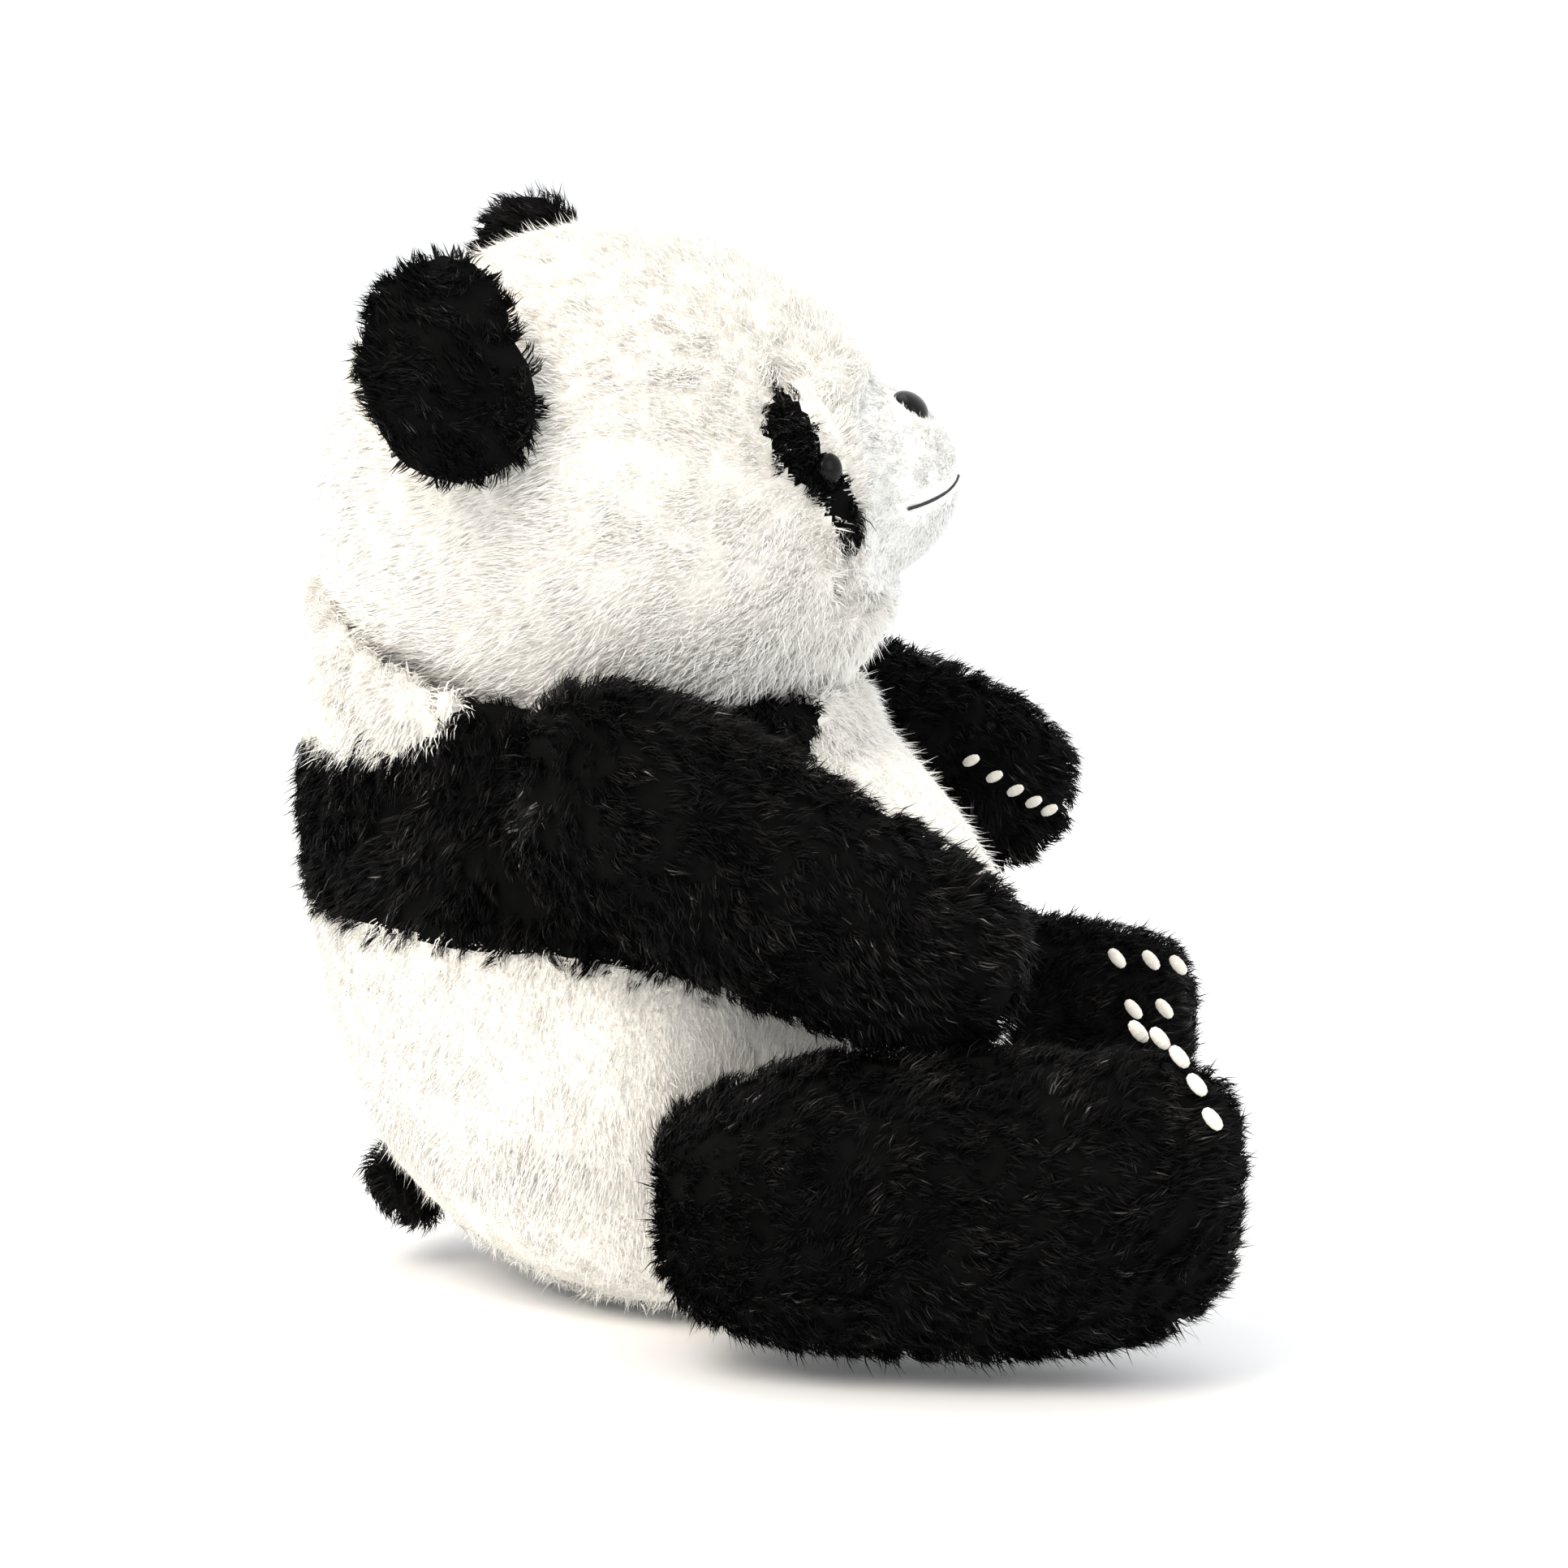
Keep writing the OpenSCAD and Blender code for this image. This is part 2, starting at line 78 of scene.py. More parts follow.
def mottled(name, dark, light, scale, roughness, bump, weave=0.0, **sockets):
    """A material whose colour drifts between two tones, with a bump of fibres or threads."""
    mat = principled(name, light, roughness, **sockets)
    nodes, links = mat.node_tree.nodes, mat.node_tree.links
    shader = nodes["Principled BSDF"]
    place = nodes.new("ShaderNodeTexCoord")
    noise = nodes.new("ShaderNodeTexNoise")
    noise.inputs["Scale"].default_value = scale
    noise.inputs["Detail"].default_value = 6
    links.new(place.outputs["Object"], noise.inputs["Vector"])
    ramp = nodes.new("ShaderNodeValToRGB")
    ramp.color_ramp.elements[0].position = 0.32
    ramp.color_ramp.elements[0].color = (*dark, 1)
    ramp.color_ramp.elements[1].position = 0.68
    ramp.color_ramp.elements[1].color = (*light, 1)
    links.new(noise.outputs["Fac"], ramp.inputs["Fac"])
    links.new(ramp.outputs["Color"], shader.inputs["Base Color"])
    height = noise.outputs["Fac"]
    if weave:
        threads = nodes.new("ShaderNodeTexVoronoi")
        threads.inputs["Scale"].default_value = weave
        links.new(place.outputs["Object"], threads.inputs["Vector"])
        mix = nodes.new("ShaderNodeMath")
        mix.operation = "ADD"
        links.new(threads.outputs["Distance"], mix.inputs[0])
        links.new(noise.outputs["Fac"], mix.inputs[1])
        height = mix.outputs["Value"]
    relief = nodes.new("ShaderNodeBump")
    relief.inputs["Strength"].default_value = bump
    relief.inputs["Distance"].default_value = 0.3 * MM
    links.new(height, relief.inputs["Height"])
    links.new(relief.outputs["Normal"], shader.inputs["Normal"])
    return mat


BACKING = {
    "white": mottled("white_backing", (0.90, 0.87, 0.81), (0.95, 0.93, 0.88), 90, 0.95, 0.6, 900),
    "short": mottled("short_white_backing", (0.82, 0.82, 0.80), (0.88, 0.88, 0.86), 120, 0.95, 0.6, 1100),
    "black": mottled("black_backing", (0.002, 0.002, 0.002), (0.004, 0.004, 0.004), 90, 0.9, 0.6, 900,
                     Specular_IOR_Level=0.05),
}
PILE = {
    "white": [
        principled("white_pile_light", (0.97, 0.955, 0.92), 0.75, Sheen_Weight=0.3),
        principled("white_pile_mid", (0.95, 0.93, 0.885), 0.8, Sheen_Weight=0.3),
        principled("white_pile_deep", (0.93, 0.90, 0.84), 0.85, Sheen_Weight=0.3),
    ],
    "short": [
        principled("short_pile_light", (0.90, 0.90, 0.88), 0.85, Sheen_Weight=0.2),
        principled("short_pile_mid", (0.87, 0.87, 0.85), 0.85, Sheen_Weight=0.2),
        principled("short_pile_deep", (0.84, 0.84, 0.82), 0.9, Sheen_Weight=0.2),
    ],
    "black": [
        principled("black_pile_deep", (0.003, 0.003, 0.0032), 0.6, Specular_IOR_Level=0.08),
        principled("black_pile_mid", (0.006, 0.0055, 0.0055), 0.5, Specular_IOR_Level=0.15),
        # The glint strands' lighter brown tone is a painted glint. Their stronger, sharper specular is real
        # shine.
        principled("black_pile_glint", (0.022, 0.019, 0.017), 0.3, Specular_IOR_Level=0.6),
    ],
}
# How the pile of each cloth stands: tufts to a square metre, strands to a tuft, their spread and width
LOOK = {
    "white": dict(density=170000, per_tuft=9, spread=3.6 * MM, width=0.40 * MM, steps=[0.3, 1.2], grip=0.15,
                  drift=0.3, turn=0.3, mix=0.45),
    "short": dict(density=360000, per_tuft=11, spread=2.4 * MM, width=0.34 * MM, steps=[0.3, 1.2], grip=0.0,
                  drift=0.2, turn=0.25, mix=0.45),
    "black": dict(density=95000, per_tuft=13, spread=2.3 * MM, width=0.42 * MM, steps=[0.2, 1.3], grip=0.6,
                  drift=1.0, turn=0.7, mix=0.6),
}
MOST_STRANDS = 60000  # in one piece
ROOT_DEPTH = 0.6 * MM  # of a strand, under the skin
GUARD_SHARE = 0.05  # of the strands, which are longer and stand up more
BEND_AT = 0.52  # of the way along a strand
WAVES = 5  # added up for a smooth random number
FLOOR_GAP = 0.3 * MM  # the least height of any strand
COLOUR_BLEND = 2.5 * MM  # over which the skin's depth changes between two cloths
RAGGED_EDGE = 1.5 * MM  # how far the pile strays over the border of two colours
BLACK_BACK = 1.4 * MM  # how far the black skin stops short of a white one, under its own pile
SHORTEST = 0.5 * MM  # pile that is kept
GLOSS = mottled("black_gloss", (0.003, 0.003, 0.003), (0.006, 0.005, 0.005), 60, 0.16, 0.02,
                Specular_IOR_Level=0.14)
CLAW = mottled("claw_felt", (0.70, 0.66, 0.58), (0.86, 0.83, 0.76), 300, 0.7, 0.3, 1800)
THREAD = mottled("black_thread", (0.006, 0.005, 0.005), (0.02, 0.018, 0.017), 900, 0.55, 0.8, 2600)
STUFFING = mottled("fibre_stuffing", (0.70, 0.70, 0.68), (0.90, 0.90, 0.88), 160, 1.0, 0.9)
POUCH = mottled("pouch_cloth", (0.50, 0.47, 0.41), (0.62, 0.59, 0.52), 220, 0.9, 0.6, 1500)
PELLETS = mottled("plastic_pellets", (0.60, 0.60, 0.58), (0.85, 0.85, 0.82), 300, 0.4, 0.8, 420)
WASHER = mottled("lock_washer", (0.75, 0.75, 0.72), (0.84, 0.84, 0.80), 80, 0.5, 0.1)


# ---------------------------------------------------------------- meshes


def add_object(name, mesh):
    """A mesh as an object in the scene."""
    obj = bpy.data.objects.new(name, mesh)
    bpy.context.scene.collection.objects.link(obj)
    return obj


def applied(obj):
    """The mesh of obj with its modifiers applied, as a new mesh. obj is removed."""
    bpy.context.view_layer.update()
    seen = obj.evaluated_get(bpy.context.evaluated_depsgraph_get())
    mesh = bpy.data.meshes.new_from_object(seen)
    bpy.data.objects.remove(obj)
    return mesh


def arrays(mesh):
    """Points, triangles, and point normals of a mesh."""
    mesh.calc_loop_triangles()
    co = np.zeros(len(mesh.vertices) * 3)
    mesh.vertices.foreach_get("co", co)
    tri = np.zeros(len(mesh.loop_triangles) * 3, np.int32)
    mesh.loop_triangles.foreach_get("vertices", tri)
    normal = np.zeros(len(mesh.vertices) * 3)
    mesh.vertices.foreach_get("normal", normal)
    return co.reshape(-1, 3), tri.reshape(-1, 3), normal.reshape(-1, 3)


def outer_shell(bm):
    """Keeps only the largest connected surface."""
    left, best = set(bm.verts), set()
    while left:
        seed = left.pop()
        island, todo = {seed}, [seed]
        while todo:
            for edge in todo.pop().link_edges:
                for v in edge.verts:
                    if v in left:
                        left.discard(v)
                        island.add(v)
                        todo.append(v)
        best = max(best, island, key=len)
    bmesh.ops.delete(bm, geom=[v for v in bm.verts if v not in best], context="VERTS")


def stuffed_form(panels, cores, voxel, smooth, grow=4.2 * MM):
    """One closed skin round a body's panels. The cores are grown so that they fill it."""
    bm = bmesh.new()
    for name in panels:
        bm.from_mesh(NODES[name].data)
    for name in cores:
        core = NODES[name].data.copy()
        co, _, normal = arrays(core)
        core.vertices.foreach_set("co", (co + normal * grow).ravel())
        bm.from_mesh(core)
        bpy.data.meshes.remove(core)
    mesh = bpy.data.meshes.new("form")
    bm.to_mesh(mesh)
    bm.free()
    obj = add_object("form", mesh)
    remesh = obj.modifiers.new("remesh", "REMESH")
    remesh.mode = "VOXEL"
    remesh.voxel_size = voxel
    ease = obj.modifiers.new("ease", "SMOOTH")
    ease.factor, ease.iterations = 0.5, smooth
    mesh = applied(obj)
    bm = bmesh.new()
    bm.from_mesh(mesh)
    outer_shell(bm)
    bm.to_mesh(mesh)
    bm.free()
    mesh.update()
    return mesh


def inflated(co, tri, cap=1.6 * MM, cell=6 * MM, pressure=4, frames=20, neighbours=4):
    """The points of a skin, moved as its stuffing presses it: a coarser copy is blown up as cloth, no
    point of it moves further than cap, and the skin follows. Its size on average stays."""
    mesh = bpy.data.meshes.new("cloth")
    mesh.from_pydata(co.tolist(), [], tri.tolist())
    obj = add_object("cloth", mesh)
    remesh = obj.modifiers.new("remesh", "REMESH")
    remesh.mode = "VOXEL"
    remesh.voxel_size = cell
    mesh = applied(obj)
    start, _, out = arrays(mesh)
    obj = add_object("cloth", mesh)
    cloth = obj.modifiers.new("cloth", "CLOTH")
    cloth.settings.use_pressure = True
    cloth.settings.uniform_pressure_force = pressure
    cloth.settings.effector_weights.gravity = 0
    for frame_number in range(1, frames + 1):
        bpy.context.scene.frame_set(frame_number)
    move = arrays(applied(obj))[0] - start
    bpy.context.scene.frame_set(1)
    move *= np.minimum(1, cap / np.maximum(np.linalg.norm(move, axis=1, keepdims=True), 1e-9))
    move -= out * (move * out).sum(1).mean()
    tree = KDTree(len(start))
    for i, p in enumerate(start.tolist()):
        tree.insert(p, i)
    tree.balance()
    near = [tree.find_n(p, neighbours) for p in co.tolist()]
    which = np.array([[hit[1] for hit in hits] for hits in near])
    weight = 1 / (np.array([[hit[2] for hit in hits] for hits in near]) + 0.5 * MM)
    return co + (move[which] * (weight / weight.sum(1, keepdims=True))[:, :, None]).sum(1)


def distance(points, names):
    """How far each point is from the surface of some nodes."""
    bm = bmesh.new()
    for name in names:
        bm.from_mesh(NODES[name].data)
    tree = BVHTree.FromBMesh(bm)
    bm.free()
    return np.array([tree.find_nearest(p)[3] for p in points.tolist()])


def group_distances(points, groups):
    """For each point, how far it is from each group of nodes."""
    return np.stack([distance(points, names) for names in groups.values()], axis=1)


# ---------------------------------------------------------------- pile


def wander(p, scale, seed):
    """A smooth random number from about -1 to 1 for each point, that drifts over scale metres."""
    rng = np.random.default_rng(seed)
    total = 0
    for _ in range(WAVES):
        wave = unit(rng.normal(size=3)) * 2 * math.pi / scale * rng.uniform(0.6, 1.6)
        total = total + np.sin(p @ wave + rng.uniform(0, 2 * math.pi))
    return total / (WAVES / 2)


def tufts(p, normal, flow, length, rng, look, lean=0.5, bend=0.7):
    """Strands in tufts. Each strand is a tapering, bent and twisted ribbon of three triangles.
    The look's grip draws the tips of a tuft together, its drift is how far the tufts differ from each
    other, and its turn is how far they swirl. Gives the strands' points and the tuft of each."""
    spread, width, grip, drift = (look[key] for key in ("spread", "width", "grip", "drift"))

    # The tufts: n is out of the skin, t the way the pile lies, and lift its angle from n
    n = unit(normal)
    t = unit(flow - (flow * n).sum(1, keepdims=True) * n)
    turn = look["turn"] * wander(p, 0.035, 5) + rng.normal(0, 0.08 + 0.22 * drift, len(p))
    side = np.cross(n, t)
    t = t * np.cos(turn)[:, None] + side * np.sin(turn)[:, None]
    side = np.cross(n, t)
    lift = lean + drift * (0.2 * wander(p, 0.02, 9) + rng.normal(0, 0.1, len(p)))
    size = length * (1 + (0.04 + 0.11 * drift) * rng.uniform(-1, 1, len(p)))

    # The strands of each tuft, scattered round its middle
    k = look["per_tuft"]
    n, t, side, p = (np.repeat(a, k, axis=0) for a in (n, t, side, p))
    lift, size = np.repeat(lift, k), np.repeat(size, k)
    count = len(p)
    angle, reach = rng.uniform(0, 2 * math.pi, count), np.sqrt(rng.uniform(0, 1, count))
    offset = (t * np.cos(angle)[:, None] + side * np.sin(angle)[:, None]) * (reach * spread)[:, None]
    guard = rng.uniform(0, 1, count) < GUARD_SHARE
    size = size * rng.uniform(0.75, 1.1, count) * np.where(guard, 1.3, 1)

    # Each strand leaves the skin at the angle a0, and leans over to a1 at its bend
    a0 = lift + rng.normal(0, 0.12, count) - np.where(guard, 0.25, 0)
    a1 = a0 + bend + rng.normal(0, 0.15, count) - np.where(guard, 0.3, 0)
    d0 = n * np.cos(a0)[:, None] + t * np.sin(a0)[:, None]
    d1 = n * np.cos(a1)[:, None] + t * np.sin(a1)[:, None]
    root = p + offset - n * ROOT_DEPTH
    mid = root + d0 * (BEND_AT * size)[:, None] - offset * 0.3 * grip
    tip = mid + d1 * ((1 - BEND_AT) * size)[:, None] - offset * 0.6 * grip
    tip += rng.normal(0, 0.05, (count, 3)) * size[:, None]

    def across(d, roll):
        """The way across a ribbon that runs along d, rolled about d."""
        first = unit(np.cross(d, n))
        return first * np.cos(roll)[:, None] + np.cross(d, first) * np.sin(roll)[:, None]

    roll = rng.uniform(-0.9, 0.9, count)
    wide = width * rng.uniform(0.7, 1.3, count)
    w0 = across(d0, roll) * (wide * 0.5)[:, None]
    w1 = across(unit(d0 + d1), roll + 0.5) * (wide * 0.42)[:, None]
    points = np.stack([root - w0, root + w0, mid + w1, mid - w1, tip], axis=1)
    return points, np.repeat(np.arange(count // k), k)


def strand_object(name, points, tint, mats):
    """A mesh of the strands, with one material slot for each tint."""
    points[..., Z] = np.maximum(points[..., Z], FLOOR_GAP)
    count = len(points)
    base = np.arange(count)[:, None] * 5
    loops = (base + np.array([[0, 1, 2, 3, 3, 2, 4]])).ravel()
    starts = (np.arange(count)[:, None] * 7 + np.array([[0, 4]])).ravel()
    mesh = bpy.data.meshes.new(name)
    mesh.vertices.add(count * 5)
    mesh.vertices.foreach_set("co", points.astype(np.float32).ravel())
    mesh.loops.add(len(loops))
    mesh.loops.foreach_set("vertex_index", loops.astype(np.int32))
    mesh.polygons.add(count * 2)
    mesh.polygons.foreach_set("loop_start", starts.astype(np.int32))
    mesh.polygons.foreach_set("material_index", np.repeat(tint, 2).astype(np.int32))
    mesh.polygons.foreach_set("use_smooth", np.ones(count * 2, bool))
    for mat in mats:
        mesh.materials.append(mat)
    mesh.update(calc_edges=True)
    return add_object(name, mesh)


def sample(co, tri, normal, surface, density, rng):
    """Points spread evenly over the skin, density of them to a square metre, with their normals
    and the points above them on the surface that the skin was sunk from."""
    a, b, c = (co[tri[:, i]] for i in range(3))
    area = np.linalg.norm(np.cross(b - a, c - a), axis=1) / 2
    count = int(area.sum() * density)
    pick = rng.choice(len(tri), count, p=area / area.sum())
    s, r = np.sqrt(rng.uniform(0, 1, count)), rng.uniform(0, 1, count)
    w = np.stack([1 - s, s * (1 - r), s * r], 1)[:, :, None]
    at, out, up = ((values[tri[pick]] * w).sum(1) for values in (co, normal, surface))
    return at, unit(out), up


def cut_skin(body, key, nodes, mesh, face_kind):
    """The part of a body's skin that is of one cloth."""
    part = mesh.copy()
    bm = bmesh.new()
    bm.from_mesh(part)
    bm.faces.ensure_lookup_table()
    bmesh.ops.delete(bm, geom=[f for f in bm.faces if face_kind[f.index] != key], context="FACES")
    bm.to_mesh(part)
    bm.free()
    part.materials.clear()
    part.materials.append(BACKING[key])
    part.polygons.foreach_set("use_smooth", np.ones(len(part.polygons), bool))
    skin = add_object(f"{body}_{key}_skin", part)
    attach(skin, body)
    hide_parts(*nodes)


def grow_pile(body, key, at, out, flow, size, rng):
    """The pile of one cloth on a body, in pieces of at most MOST_STRANDS."""
    look = LOOK[key]
    points, tuft = tufts(at, out, flow(at), size, rng, look)
    shade = look["drift"] * (0.4 * wander(at, 0.03, 3) + rng.normal(0, 0.3, len(at)))
    shade = shade[tuft] + rng.normal(0, look["mix"], len(tuft))
    # The tint of each strand. For the black pile, the last tint is the strands with the painted glint.
    tint = np.digitize(shade, look["steps"])
    for first in range(0, len(points), MOST_STRANDS):
        some = slice(first, first + MOST_STRANDS)
        name = f"{body}_{key}_pile_{first // MOST_STRANDS + 1}"
        pile = strand_object(name, points[some], tint[some], PILE[key])
        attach(pile, body)


def clothe(body, panels, cores, groups, flow, length, sink, voxel=3.5 * MM, smooth=5, hold=None,
           recolor=None, share=None, plump=None):
    """A body's stuffed skin, cut where its colours meet, and the pile on it.

    groups has the nodes of each cloth, length its pile's length, and sink how far its skin lies below
    the panels' surface, where share(points) is 1. plump(points, normals) pads the skin out from there.
    hold(points) shortens the pile, and recolor(points, cloths) moves the border of two cloths."""
    rng = np.random.default_rng(sum(map(ord, body)))
    keys = list(groups)
    mesh = stuffed_form(panels, cores, voxel, smooth)
    co, tri, normal = arrays(mesh)
    near = np.exp(-group_distances(co, groups) / COLOUR_BLEND) + 1e-12
    depth = (near * [sink[k] for k in keys]).sum(1) / near.sum(1)
    if share is not None:
        depth = depth * share(co)
    if plump is not None:
        depth = depth - plump(co, normal)
    surface = co.copy()
    co = inflated(co - normal * depth[:, None], tri)
    mesh.vertices.foreach_set("co", co.ravel())
    mesh.update()

    def cloth_of(points, black_back=0.0):
        """The cloth at each point: black only where it is nearer than any other by black_back."""
        far = group_distances(points, groups) + [black_back if k == "black" else 0 for k in keys]
        kind = np.array(keys)[far.argmin(1)]
        return kind if recolor is None else recolor(points, kind)

    kind = cloth_of(surface[tri].mean(1), BLACK_BACK)
    polygon = np.zeros(len(mesh.loop_triangles), np.int32)
    mesh.loop_triangles.foreach_get("polygon_index", polygon)
    face_kind = np.full(len(mesh.polygons), "", dtype=kind.dtype)
    face_kind[polygon] = kind

    for key, nodes in groups.items():
        cut_skin(body, key, nodes, mesh, face_kind)
        at, out, up = sample(co, tri, normal, surface, LOOK[key]["density"] * PILE_SHARE, rng)
        chosen = cloth_of(up + rng.normal(0, RAGGED_EDGE, up.shape)) == key
        at, out = at[chosen], out[chosen]
        size = length[key] * (np.ones(len(at)) if hold is None else hold(at))
        keep = size > SHORTEST
        grow_pile(body, key, at[keep], out[keep], flow, size[keep], rng)
    bpy.data.meshes.remove(mesh)


def stuff(body, node, voxel=4 * MM, swell=1.2 * MM):
    """A lumpy mass of fibre in place of a node of stuffing."""
    mesh = stuffed_form([node], [], voxel, 2)
    co, _, normal = arrays(mesh)
    lumps = wander(co, 0.014, 21) + 0.6 * wander(co, 0.007, 22)
    co = co + normal * (swell * (lumps - 0.4))[:, None]
    mesh.vertices.foreach_set("co", co.ravel())
    mesh.polygons.foreach_set("use_smooth", np.ones(len(mesh.polygons), bool))
    mesh.materials.clear()
    mesh.materials.append(STUFFING)
    mesh.update()
    mass = add_object(f"{node}_mass", mesh)
    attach(mass, body)
    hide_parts(node)


# ---------------------------------------------------------------- the panda


def centre(node):
    """The middle of a node's box."""
    lo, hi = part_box(node)
    return np.array((lo + hi) / 2)


def away_from(point, plus=(0, 0, 0)):
    """A flow that runs away from a point, with a constant share added."""
    return lambda p: unit(p - np.array(point)) + np.array(plus, float)


def along(vector):
    """A flow that runs one way everywhere."""
    return lambda p: np.tile(np.array(vector, float), (len(p), 1))


HEAD_NODES = {
    "white": ["crown_gusset", "chin_panel"]
    + [f"{panel}_{side}" for panel in ("face_panel", "head_back") for side in SIDES],
    "short": ["muzzle_cover"],
    "black": [f"eye_patch_{side}" for side in SIDES],
}
TORSO_NODES = {
    "white": ["belly_panel", "base_panel", "nape_panel"] + [f"back_panel_{side}" for side in SIDES],
    "black": [f"yoke_{side}" for side in SIDES],
}
MUZZLE_AT = centre("muzzle_cover")
NOSE_AT = centre("nose")
EYE_AT = {side: centre(f"eye_{side}") for side in SIDES}
HEAD_AT = centre("head_stuffing")
HEAD_CENTRE = np.array([0, 50, 236]) * MM  # where the head turns and nods
HEAD_LEAN = 4  # degrees to its right
HEAD_RADIUS = 84.5 * MM
CHIN_WAY = unit(np.array([0, -0.95, -0.3]))  # from the head's centre
CHIN_SPREAD = 0.45  # radians
HANG_WAY = unit(np.array([0, 0.75, -0.65]))  # back and down


def ramp(x, low, high):
    """0 below low, 1 above high, and smooth between."""
    t = np.clip((x - low) / (high - low), 0, 1)
    return t * t * (3 - 2 * t)


def head_angles(p):
    """The angle up from the front and the angle from the nearer side of each point, round the head."""
    lean = math.radians(HEAD_LEAN)
    q = p - HEAD_CENTRE
    x = q[:, X] * math.cos(lean) + q[:, Z] * math.sin(lean)
    z = q[:, Z] * math.cos(lean) - q[:, X] * math.sin(lean)
    across = np.arccos(np.abs(x) / np.linalg.norm(q, axis=1))
    return np.degrees(np.arctan2(z, -q[:, Y])), np.degrees(across)


def from_head(p):
    """How far each point is from the head's centre."""
    return np.linalg.norm(p - HEAD_CENTRE, axis=1)


def between(values, low, high):
    """How far values in metres have climbed from low to high, which are in millimetres."""
    return ramp(values, low * MM, high * MM)


def head_recolor(p, kind):
    """The cheek's white pile closes over the inner edge of the eye patch. The border is the angle
    across over the angle up, in degrees."""
    up, across = head_angles(p)
    edge = np.interp(up, [0, 8, 18, 27, 34], [64, 61, 56.5, 56.5, 56])
    return np.where((kind == "black") & (across > edge), "white", kind)


def head_hold(p):
    """The pile is cut short round the nose and the mouth, and just over the eyes."""
    hold = np.ones(len(p))
    for at, reach in [(NOSE_AT, 8 * MM)] + [(EYE_AT[side], 3 * MM) for side in SIDES]:
        hold = np.minimum(hold, 0.15 + 0.85 * ramp(np.linalg.norm(p - at, axis=1), 0.5 * reach, 1.3 * reach))
    return np.minimum(hold, ramp(distance(p, ["mouth_stitch"]), 1.6 * MM, 4.2 * MM))


def head_share(p):
    """The skin stays full behind the head and round the neck."""
    return between(p[:, Z], 172, 200) * (1 - between(p[:, Y], 85, 115))


def head_plump(p, n):
    """The cheeks are full under the muzzle and all round it, and the nape meets the torso's rim."""
    way = unit(p - HEAD_CENTRE)
    chin = np.exp(-(np.arccos(np.clip(way @ CHIN_WAY, -1, 1)) / CHIN_SPREAD) ** 2)
    low_nape = between(p[:, Y], 100, 125) * (1 - between(p[:, Z], 215, 240))
    front = ramp(-way[:, Y], 0.68, 0.80)
    gap = np.clip(HEAD_RADIUS - from_head(p), 0, 7 * MM)
    return 5 * MM * chin + 2 * MM * low_nape + front * gap


def torso_plump(p, n):
    """The rim swells against the back of the head."""
    return 2.5 * MM * (1 - between(from_head(p), 94, 104)) * between(p[:, Y], 60, 100)


def torso_share(p):
    """The skin stays full at the rim and in the dish under the head."""
    return between(from_head(p), 90, 104)


def torso_recolor(p, kind):
    """White pile closes over the black at the front of the chest and below the nape.
    The borders are y over z, and z over y, in millimetres."""
    y, z = p[:, Y] / MM, p[:, Z] / MM
    chest = y < np.interp(z, [113, 150, 185, 210], [-35, -7, -19, -25])
    nape = z > np.interp(y, [70, 80, 93, 113, 146], [300, 187, 174, 166, 168])
    return np.where((kind == "black") & (chest | nape), "white", kind)


def leg_plump(p, n):
    """The thigh swells up under the arm, and the left foot is a little short."""
    short = 2 * MM * ramp(-n[:, Y], 0.2, 0.9) * (p[:, X] > 0)
    return (5 * MM * ramp(n[:, Z], 0.1, 0.9) * between(p[:, Y], -100, -60)
            + 4 * MM * ramp(n[:, Z], 0.0, 0.7) * between(p[:, Y], -50, -15) - short)


def arm_plump(p, n):
    """The forearm fills out against the thigh, and the shoulder against the cheek and the torso.
    The left hand hangs a little back and down."""
    y = p[:, Y]
    inward = -n[:, X] * np.sign(p[:, X])
    hang = 2 * MM * (n @ HANG_WAY) * between(-y, -10, 20) * (p[:, X] > 0)
    return (hang + 3 * MM * ramp(-n[:, Z], 0.1, 0.9) * between(y, -80, -50)
            + 4 * MM * ramp(n[:, Z], 0.1, 0.9) * between(y, -30, 10)
            + 6 * MM * ramp(inward, 0.3, 0.9) * between(y, -50, 0))


clothe("torso", sum(TORSO_NODES.values(), []), ["body_stuffing"], TORSO_NODES,
       along((0, 0.25, -1)), {"white": 7 * MM, "black": 7 * MM}, {"white": 3.5 * MM, "black": 1.5 * MM},
       share=torso_share, plump=torso_plump, recolor=torso_recolor)
clothe("head", sum(HEAD_NODES.values(), []), ["head_stuffing", "muzzle_stuffing"], HEAD_NODES,
       away_from(MUZZLE_AT - np.array([0, 30, 0]) * MM, (0, 0.2, -0.2)),
       {"white": 6.5 * MM, "short": 2.2 * MM, "black": 7.5 * MM},
       {"white": 3.5 * MM, "short": 1.1 * MM, "black": 0.5 * MM}, hold=head_hold, share=head_share,
       plump=head_plump, recolor=head_recolor, voxel=3 * MM, smooth=3)
clothe("tail", ["tail_cover"], ["tail_stuffing"], {"black": ["tail_cover"]},
       along((0, 0.6, -1)), {"black": 6.5 * MM}, {"black": 0.5 * MM}, voxel=2.5 * MM, smooth=2)
for side in SIDES:
    ear = [f"ear_front_{side}", f"ear_back_{side}"]
    clothe(f"ear_{side}", ear, [], {"black": ear}, away_from(HEAD_AT),
           {"black": 6 * MM}, {"black": 1.5 * MM}, voxel=2.5 * MM, smooth=2)
    arm = [f"arm_outer_{side}", f"arm_inner_{side}"]
    clothe(f"arm_{side}", arm, [f"arm_stuffing_{side}"], {"black": arm},
           along((0, -0.9, -0.6)), {"black": 7 * MM}, {"black": 3 * MM}, plump=arm_plump)
    leg = [f"leg_outer_{side}", f"leg_inner_{side}", f"foot_sole_{side}"]
    clothe(f"leg_{side}", leg, [f"leg_stuffing_{side}"], {"black": leg},
           along((0, -1, 0.1)), {"black": 6.5 * MM}, {"black": 4.5 * MM}, plump=leg_plump)

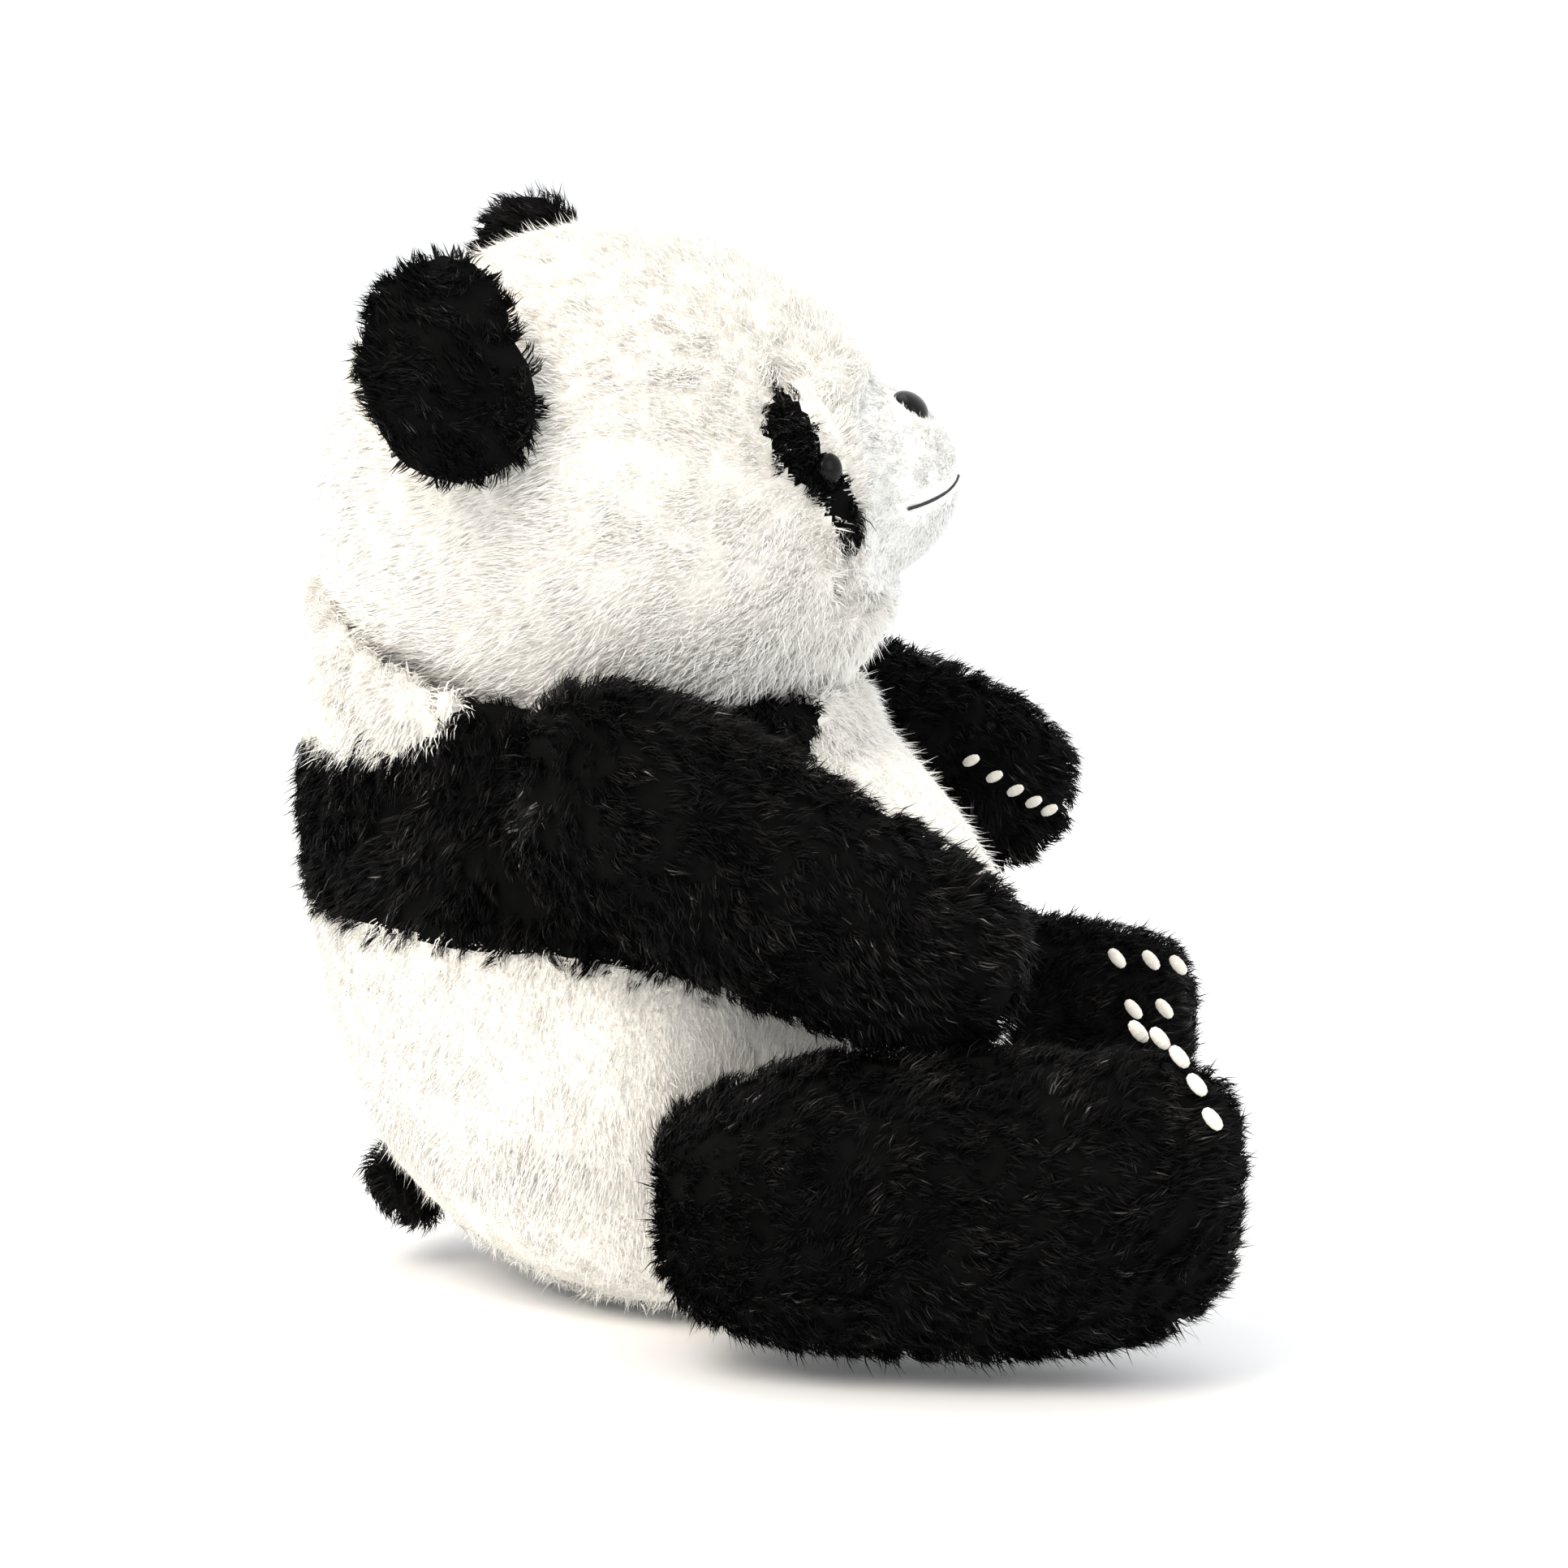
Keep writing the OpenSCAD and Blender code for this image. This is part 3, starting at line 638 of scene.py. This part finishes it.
stuff("torso", "body_stuffing")
stuff("neck", "neck_stuffing", swell=0.6 * MM)
stuff("head", "head_stuffing")
stuff("head", "muzzle_stuffing", voxel=3 * MM)
stuff("tail", "tail_stuffing", voxel=2 * MM, swell=0.6 * MM)
for side in SIDES:
    stuff(f"arm_{side}", f"arm_stuffing_{side}")
    stuff(f"leg_{side}", f"leg_stuffing_{side}")

FINISH = {
    "nose": GLOSS, "eye_right": GLOSS, "eye_left": GLOSS, "mouth_stitch": THREAD,
    "nose_washer": WASHER, "eye_washer_right": WASHER, "eye_washer_left": WASHER,
    "pellet_pouch": POUCH, "pellet_fill": PELLETS,
    "arm_claws_right": CLAW, "arm_claws_left": CLAW, "leg_claws_right": CLAW, "leg_claws_left": CLAW,
}
for name, mat in FINISH.items():
    NODES[name].data.materials.clear()
    NODES[name].data.materials.append(mat)

# ---------------------------------------------------------------- the studio

CAMERA_TARGET = Vector((0, 0, 0.150))
AZIMUTH, ELEVATION, DISTANCE = math.radians(276), math.radians(9.5), 1.4
VIEW_WIDTH = 0.4685  # across the picture, at the target
LEVEL = math.cos(ELEVATION)
back = Vector((math.sin(AZIMUTH) * LEVEL, -math.cos(AZIMUTH) * LEVEL, math.sin(ELEVATION)))
camera = bpy.data.objects.new("camera", bpy.data.cameras.new("camera"))
camera.data.lens = camera.data.sensor_width * DISTANCE / VIEW_WIDTH
camera.location = CAMERA_TARGET + back * DISTANCE
camera.rotation_mode = "QUATERNION"
camera.rotation_quaternion = (-back).to_track_quat("-Z", "Y")
bpy.context.scene.collection.objects.link(camera)
bpy.context.scene.camera = camera

FLOOR_RADIUS = 40
bm = bmesh.new()
bmesh.ops.create_circle(bm, cap_ends=True, segments=64, radius=FLOOR_RADIUS)
floor_mesh = bpy.data.meshes.new("floor")
bm.to_mesh(floor_mesh)
bm.free()
floor_mesh.materials.append(principled("floor_paper", (0.95, 0.95, 0.95), 0.9))
floor = add_object("floor", floor_mesh)


def softbox(name, at, size, power, color=(1, 1, 1)):
    """A square soft light of some watts, aimed at the panda."""
    lamp = bpy.data.objects.new(name, bpy.data.lights.new(name, "AREA"))
    lamp.data.size, lamp.data.energy, lamp.data.color = size, power, color
    lamp.location = at
    lamp.rotation_mode = "QUATERNION"
    lamp.rotation_quaternion = (Vector(at) - CAMERA_TARGET).to_track_quat("Z", "Y")
    bpy.context.scene.collection.objects.link(lamp)


softbox("key_light", (-1.3, 0.9, 1.7), 1.2, 34, (1, 0.90, 0.78))
softbox("front_light", (-0.9, -1.7, 1.1), 1.3, 7, (0.95, 0.98, 1))
softbox("top_light", (0.6, 0.3, 2.2), 1.5, 10)
world = bpy.data.worlds.new("studio")
world.use_nodes = True
world.node_tree.nodes["Background"].inputs["Color"].default_value = (0.97, 0.985, 1, 1)
world.node_tree.nodes["Background"].inputs["Strength"].default_value = 1.1
bpy.context.scene.world = world
bpy.context.scene.view_settings.view_transform = "Standard"
